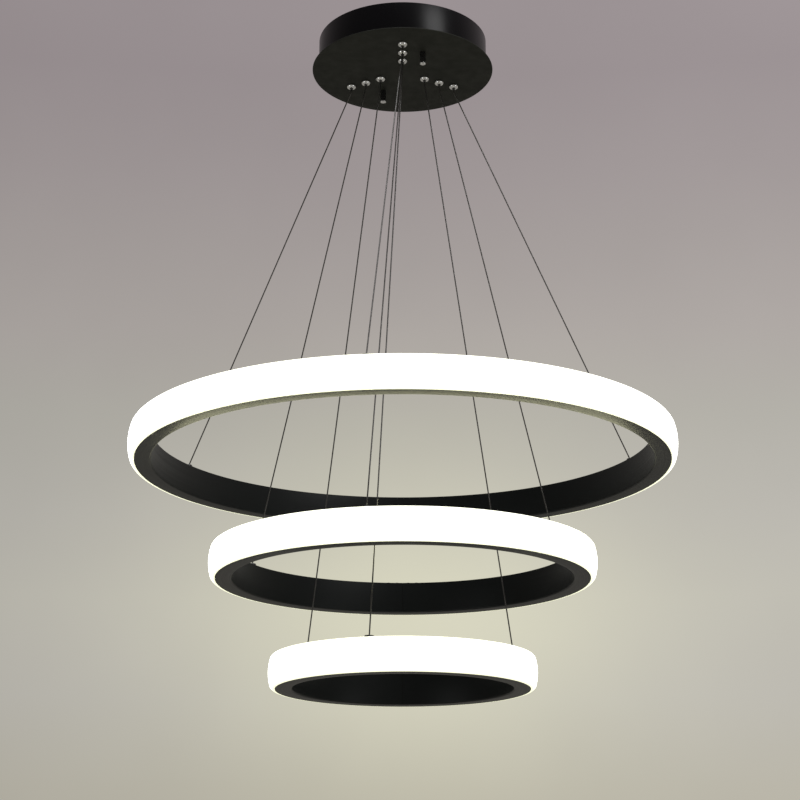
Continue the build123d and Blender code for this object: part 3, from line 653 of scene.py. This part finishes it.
def capOutline(size):
    # the domed cap: down its bore, out along its foot, round the dome and in over its top to the barrel
    r, low, c, edge = size["capRadius"], size["capBottom"], size["capRound"], size["edge"]
    bore, top = size["bore"], size["capTop"]
    return np.vstack([
        [(bore, size["boreTop"])], [(bore, low + edge)], [(bore + edge, low)],
        [(r - c, low)], arc((r - c, low + c), c, -90, 0, 16)[1:],
        [(r, top - edge)], arc((r - edge, top - edge), edge, 0, 90, 4)[1:], [(size["barrel"], top)],
    ])


def barrelTopOutline(size):
    # from the thread's end over the barrel's chamfered top and down into the wire's hole
    r, top, hole, edge = size["barrel"], size["barrelTop"], size["mouth"], size["edge"]
    inwards, down = size["chamfer"]
    return [(r - size["threadDepth"], top - down), (r - inwards, top), (hole + edge, top), (hole, top - edge),
            (hole, top - size["mouthDepth"])]


threadGrid = thread(grip["barrel"], grip["capTop"], grip["barrelTop"] - grip["chamfer"][1], grip["pitch"],
                    grip["threadDepth"], 56)[1:-1]
gripGrid = np.vstack([spun(capOutline(grip), 56), threadGrid, spun(barrelTopOutline(grip), 56)])
gripPiece = gridPiece("gripCaps", copies(gripGrid, gripSpots), finishes["polished_chrome"], sharp=50)
place(gripPiece, "canopy", "polished_chrome", "grip_bodies")

plunger = {
    "nose": 0.0025, "noseEnd": -0.0565, "collar": 0.0033, "collarLow": -0.0509, "collarTop": -0.0489,
    "hole": 0.0012, "rounds": (0.0003, 0.0006, 0.0002, 0.0002, 0.0002, 0.0002),
}


def plungerOutline(size):
    # a T round the wire's hole: the nose below and the wider collar on it
    hole, nose, collar = size["hole"], size["nose"], size["collar"]
    end, low, top = size["noseEnd"], size["collarLow"], size["collarTop"]
    corners = [(hole, end), (nose, end), (nose, low), (collar, low), (collar, top), (hole, top)]
    return roundedOutline(corners, size["rounds"], 5)


plungerGrid = spun(plungerOutline(plunger), 40)
plungerNames = [f"{ring}_{line}_plunger" for ring in gripRadii for line in wireLines]
for name, xy in zip(plungerNames, gripSpots):
    piece = gridPiece(name + "_nose", copies(plungerGrid, [xy]), finishes["dark_nickel"], wrapRows=True)
    place(piece, name, "dark_nickel", name)

spring = {"radius": 0.0027, "wire": 0.00038, "low": -0.0488, "high": -0.0356, "turns": 7}


def springGrid(size, steps=22):
    # A round wire on a helix (r cos a, r sin a, z). Its first and last turn rise by just over one
    # wire, so the ends are closed, and the turns between them rise evenly.
    turn = np.linspace(0, size["turns"], size["turns"] * steps + 1)
    low, high, closed = size["low"] + size["wire"], size["high"] - size["wire"], 2.1 * size["wire"]
    z = np.interp(turn, [0, 1, size["turns"] - 1, size["turns"]], [low, low + closed, high - closed, high])
    outward = np.stack([np.cos(2 * pi * turn), np.sin(2 * pi * turn), 0 * turn], 1)
    path = size["radius"] * outward + z[:, None] * [0, 0, 1]
    tangents = np.gradient(path, axis=0)
    tangents /= np.linalg.norm(tangents, axis=1)[:, None]
    return tube(path, tangents, outward, size["wire"], 8)


coil = springGrid(spring)
for name, xy in zip(plungerNames, gripSpots):
    springName = name.replace("plunger", "spring")
    piece = gridPiece(springName, copies(coil, [xy]), finishes["zinc_steel"], weld=True, sharp=60)
    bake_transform(piece)
    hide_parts("grip_springs")

capNut = {
    "radius": 0.0045, "top": -0.0501, "bottom": -0.0701, "round": 0.0012, "edge": 0.0004,
    "hole": 0.00208, "holeEdge": 0.0003, "holeEnd": 0.003, "knurlFrom": 0.0016, "knurlTo": 0.0042,
    "knurlDepth": 0.00012, "knurlFade": 0.0008, "groove": (0.0036, 0.0033, 0.0029, 0.0026),
    "flat": 0.0018, "brightTip": 0.0011,
}


def nutTopOutline(size):
    # up inside the bore, out over the top and down to where the side begins
    r, low, top, edge = size["radius"], size["bottom"], size["top"], size["edge"]
    hole, bevel = size["hole"], size["holeEdge"]
    end = low + size["holeEnd"]
    return [(0, end), (hole, end), (hole, top - bevel), (hole + bevel, top), (r - edge, top), (r, top - edge)]


def knurl(size, columns=72, rows=56):
    # A straight-sided band whose radius drops into crossed grooves:
    # depth * max(|cos(9 a + k z)|, |cos(9 a - k z)|)^6, faded out at the band's two ends.
    z = np.linspace(size["top"] - size["knurlFrom"], size["bottom"] + size["knurlTo"], rows)
    a = np.linspace(0, 2 * pi, columns, endpoint=False)
    around, along = 9 * a[None], 2600 * z[:, None]
    cross = np.maximum(np.abs(np.cos(around + along)), np.abs(np.cos(around - along))) ** 6
    fade = np.clip(np.minimum(z[0] - z, z - z[-1]) / size["knurlFade"], 0, 1)[:, None]
    r = size["radius"] - size["knurlDepth"] * cross * fade
    return np.stack([r * np.cos(a), r * np.sin(a), np.broadcast_to(z[:, None], r.shape)], 2)


def nutTipOutline(size):
    # under the knurl: a shallow groove, the plain end and its rounded tip down to the axis
    r, c, low, edge = size["radius"], size["round"], size["bottom"], size["edge"]
    first, second, third, last = size["groove"]
    return np.vstack([
        [(r, low + first), (r - edge, low + second), (r - edge, low + third), (r, low + last), (r, low + c)],
        arc((r - c, low + c), c, 0, -90, 10)[1:], [(size["flat"], low), (0, low)],
    ])


# the outline runs from the top down on these, so it is turned round for faces that look outwards
nutGrid = np.vstack([spun(nutTopOutline(capNut), 72), knurl(capNut), spun(nutTipOutline(capNut), 72)])[::-1]
for name, xy in zip(("near_cap_nut", "far_cap_nut"), studSpots):
    piece = gridPiece(name + "_body", copies(nutGrid, [xy]), finishes["black_nut"], weld=True, sharp=40)
    piece.data.materials.append(finishes["polished_chrome"])
    centres = np.zeros(len(piece.data.polygons) * 3)
    piece.data.polygons.foreach_get("center", centres)
    onTip = (centres.reshape(-1, 3)[:, 2] < capNut["bottom"] + capNut["brightTip"]).astype(np.int32)
    piece.data.polygons.foreach_set("material_index", onTip)
    place(piece, name, "black_nut", name)
print("stage 5: grips, plungers and cap nuts made")

# rings
profile = {
    "height": 0.047, "width": 0.024, "wall": 0.0016, "recess": 0.005,
    "lowerRound": 0.0024, "upperRound": 0.0012,
    "lipOuter": 0.00035, "lipInner": 0.00025, "recessRound": 0.0003,
    "bulge": 0.0095, "lead": 0.0006, "corner": 0.0065, "shell": 0.002,
    "leg": 0.0035, "legThickness": 0.0014, "legStep": 0.0012, "gap": 0.00015,
    "seam": 0.0003, "seamDepth": 0.0003, "seamDirection": 90.0, "crownRise": 3.2, "steps": 288,
}
rings = {
    "large": {"radius": 0.4000, "drop": 0.6925, "turns": (-7.2, -9.1, 2.8)},
    "middle": {"radius": 0.2790, "drop": 0.8610, "turns": (-10.8, -7.4, 2.6)},
    "small": {"radius": 0.1905, "drop": 1.0165, "turns": (-15.6, -14.4, -1.3)},
}


def channelOutline(rim, floorZ, size):
    # the profile's outside: flat underside, lip, recess for the strip of lamps, lip, top, inner wall
    low, high = floorZ, floorZ + size["height"]
    inner, web, w = rim - size["width"], rim - size["recess"], size["wall"]
    corners = [(inner, low), (rim, low), (rim, low + w), (web, low + w),
               (web, high - w), (rim, high - w), (rim, high), (inner, high)]
    half = [size[name] for name in ("lipOuter", "lipInner", "recessRound")]
    return roundedOutline(corners, [size["lowerRound"], *half, *half[::-1], size["upperRound"]], 7)


def seamedRing(outline, rim, size, steps):
    # The outline carried round Z. Between the two columns at the seam's edges stands one whose
    # points are moved seamDepth along the outline's own inward normal, so the joint shows as a V.
    halfSeam = size["seam"] / 2 / rim
    middle = radians(size["seamDirection"])
    plain = np.linspace(middle + halfSeam, middle + 2 * pi - halfSeam, steps + 1)
    angle = np.append(plain, middle + 2 * pi)
    along = np.roll(outline, -1, 0) - np.roll(outline, 1, 0)
    inward = np.stack([-along[:, 1], along[:, 0]], 1) / np.linalg.norm(along, axis=1)[:, None]
    depth = np.where(np.arange(len(angle)) == steps + 1, size["seamDepth"], 0.0)
    r = outline[:, 0, None] + inward[:, 0, None] * depth
    z = outline[:, 1, None] + inward[:, 1, None] * depth
    around = rim * np.append(angle - angle[0], 2 * pi)
    return np.stack([r * np.cos(angle), r * np.sin(angle), z], 2), around


def crownOutline(rim, floorZ, size, inset, steps=22):
    # A D: a corner arc below and above, and between them a flatter arc that is tangent to both.
    # Its radius is (d^2 + h^2 - 2 h c) / (2 (d - c)) for depth d, half height h and corner radius c.
    d, h, c = size["bulge"] - size["lead"], size["height"] / 2, size["corner"]
    crown = (d * d + h * h - 2 * h * c) / (2 * (d - c))
    middle = floorZ + h
    cornerX, crownX = rim + size["lead"], rim + size["bulge"] - crown
    lean = np.degrees(atan2(h - c, cornerX - crownX))
    return np.vstack([
        [(rim, middle - h + inset)],
        arc((cornerX, middle - h + c), c - inset, -90, -lean, 10),
        arc((crownX, middle), crown - inset, -lean, lean, steps)[1:-1],
        arc((cornerX, middle + h - c), c - inset, lean, 90, 10),
        [(rim, middle + h - inset)],
    ])


def diffuserOutline(rim, floorZ, size):
    # the shell's outside, then back inside it and round its two legs
    outside = crownOutline(rim, floorZ, size, 0.0)
    inside = crownOutline(rim, floorZ, size, size["shell"])[1:-1][::-1]
    low, high = floorZ + size["wall"] + size["gap"], floorZ + size["height"] - size["wall"] - size["gap"]
    t, reach, back = size["legThickness"], rim - size["gap"] - size["leg"], rim + size["legStep"]
    upper = [(rim, high), (reach, high), (reach, high - t), (back, high - t)]
    lower = [(back, low + t), (reach, low + t), (reach, low), (rim, low)]
    return np.vstack([outside, upper, inside, lower])


wire = {
    "radius": 0.001, "bend": 0.014, "corner": -0.061, "top": -0.025, "grip": 0.004, "end": 0.0001,
    "sides": 12, "blendIn": 0.0012,
}
anchor = {
    "inset": 0.011, "flange": 0.0065, "height": 0.004, "stem": 0.004, "foot": -0.0047,
    "socket": 0.00265, "neckRise": 0.0015, "neckStep": 0.0005, "neckGap": 0.0001, "flareGap": 0.0004,
    "ball": 0.0025, "fillets": (0.0002, 0.0003, 0.0001, 0.0003, 0.0012, 0.0002, 0.0001, 0.0001),
}


def wirePath(gripSpot, ball, size):
    # Straight down out of the grip, round one bend and straight to the ball. The bend's arc is
    # tangent to both runs: it starts radius * tan(lean / 2) from their corner.
    top = np.array([*gripSpot, size["top"]])
    corner = np.array([*gripSpot, size["corner"]])
    along = ball - corner
    along /= np.linalg.norm(along)
    down = np.array([0, 0, -1.0])
    lean = np.arccos(np.clip(along @ down, -1, 1))
    start = corner - down * size["bend"] * tan(lean / 2)
    turn = np.linspace(0, lean, 9)[:, None]
    side = along - down * np.cos(lean)
    side /= np.linalg.norm(side)
    curve = start + size["bend"] * (np.sin(turn) * down + (1 - np.cos(turn)) * side)
    tangents = np.vstack([[down] * 2, np.cos(turn) * down + np.sin(turn) * side, [along]])
    path = np.vstack([[top, top + down * size["grip"]], curve, [ball - along * size["end"]]])
    return path, tangents, np.cross(down, side)


def anchorOutline(lean, size):
    # A flanged bush: up its socket, over the neck, out along the flare and down the flange's rim.
    # The flare clears a wire that leans: height * tan(lean) + wire radius / cos(lean) + gap.
    neck = sqrt(size["ball"] ** 2 - size["neckRise"] ** 2) + size["neckGap"]
    flare = max(neck, size["height"] * tan(lean) + wire["radius"] / np.cos(lean) + size["flareGap"])
    socket, stem, flange, foot = size["socket"], size["stem"], size["flange"], size["foot"]
    high, rise = size["height"], size["neckRise"]
    corners = [(socket, foot), (stem, foot), (stem, 0.0), (flange, 0.0), (flange, high),
               (flare, high), (neck, rise), (socket, rise - size["neckStep"])]
    return roundedOutline(corners, size["fillets"], 5)


screw = {
    "head": 0.0028, "rise": 0.0018, "shank": 0.0015, "chamfer": 0.0002, "length": 0.005,
    "cross": (0.00042, 0.00016), "crossReach": (0.00175, 0.0003), "crossDepth": 0.0009,
    # places along the channel, from the seam
    "ways": (-0.022, -0.009, 0.009, 0.022),
}


def screwHead(size, columns=48, rows=14):
    # A pan head: z = rise * (1 - (r / head)^4)^0.5, less a cross where |x| or |y| is under its half width.
    share = np.linspace(1, 0, rows) ** 0.8
    a = np.linspace(0, 2 * pi, columns, endpoint=False)
    r = size["head"] * share[:, None] * np.ones((1, columns))
    x, y = r * np.cos(a), r * np.sin(a)
    dome = size["rise"] * np.sqrt(np.clip(1 - (r / size["head"]) ** 4, 0, 1))
    (half, slope), (reach, fade) = size["cross"], size["crossReach"]
    cut = np.clip((half - np.minimum(np.abs(x), np.abs(y))) / slope, 0, 1) * np.clip((reach - r) / fade, 0, 1)
    return np.stack([x, y, dome - size["crossDepth"] * cut], 2)


for ringName, ring in rings.items():
    bodyName = ringName + "_ring"
    floorZ = -ring["drop"]
    top = floorZ + profile["height"]
    rim = ring["radius"] - profile["bulge"] - profile["gap"]
    steps = profile["steps"]

    outline = channelOutline(rim, floorZ, profile)
    grid, around = seamedRing(outline, rim, profile, steps)
    piece = gridPiece(ringName + "Channel", grid, finishes["black_aluminium"], wrapRows=True,
                      uv=(lengths(outline), around), sharp=40)
    place(piece, bodyName, "black_aluminium", bodyName + "_channel")

    outline = diffuserOutline(rim + profile["gap"], floorZ, profile)
    grid = spun(outline, steps)
    piece = gridPiece(ringName + "Diffuser", grid, finishes["opal_acrylic"], wrapRows=True, sharp=40)
    # crown = rise * (1 - |height from the middle| / half height): 0 at the shell's edges, 1 over its crown
    height = np.abs(outline[:, 1] - floorZ - profile["height"] / 2) / (profile["height"] / 2)
    crown = np.clip((1 - height) * profile["crownRise"], 0, 1)
    layer = piece.data.attributes.new("crown", "FLOAT", "POINT")
    layer.data.foreach_set("value", np.repeat(crown, steps).astype(np.float32))
    place(piece, bodyName, "opal_acrylic", bodyName + "_diffuser")

    anchorRadius = rim - profile["width"] + anchor["inset"]
    lines = list(wireLines.values())
    balls = [np.array([*spot(anchorRadius, line + turn), top]) for line, turn in zip(lines, ring["turns"])]
    gripAt = [spot(gripRadii[ringName], line) for line in lines]
    runs = [wirePath(g, b, wire) for g, b in zip(gripAt, balls)]
    grids = np.array([tube(*run, wire["radius"], wire["sides"]) for run in runs])
    along = lengths(runs[0][0], closed=False)
    uv = (np.concatenate([along[:1], along, along[-1:]]), np.linspace(0, 1, wire["sides"] + 1))
    piece = gridPiece(ringName + "Wires", grids, finishes["clear_wire"], uv=uv, weld=True, sharp=60)
    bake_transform(piece)
    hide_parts(bodyName + "_wires")

    lean = max(np.arccos(-tangents[-1][2]) for path, tangents, across in runs)
    bush = spun(anchorOutline(lean, anchor), 40)
    grids = np.array([bush + ball for ball in balls])
    piece = gridPiece(ringName + "Anchors", grids, finishes["dark_nickel"], wrapRows=True, sharp=40)
    place(piece, bodyName, "dark_nickel", bodyName + "_wire_anchors")

    spliceRadius = (rim - profile["width"] + rim - profile["recess"]) / 2
    directions = [profile["seamDirection"] + np.degrees(way / spliceRadius) for way in screw["ways"]]
    shankRadius, chamfer, end = screw["shank"], screw["chamfer"], -screw["length"]
    shank = spun([(0, end), (shankRadius - chamfer, end), (shankRadius, end + chamfer), (shankRadius, 0)], 48)
    grids = np.array([np.vstack([shank, screwHead(screw)]) + np.array([*spot(spliceRadius, direction), top])
                      for direction in directions])
    piece = gridPiece(ringName + "SpliceScrews", grids, finishes["dark_nickel"], weld=True, sharp=50)
    place(piece, bodyName, "dark_nickel", bodyName + "_splice_screws")
    print("stage 6:", ringName, "ring made, wires lean", round(np.degrees(lean), 1))
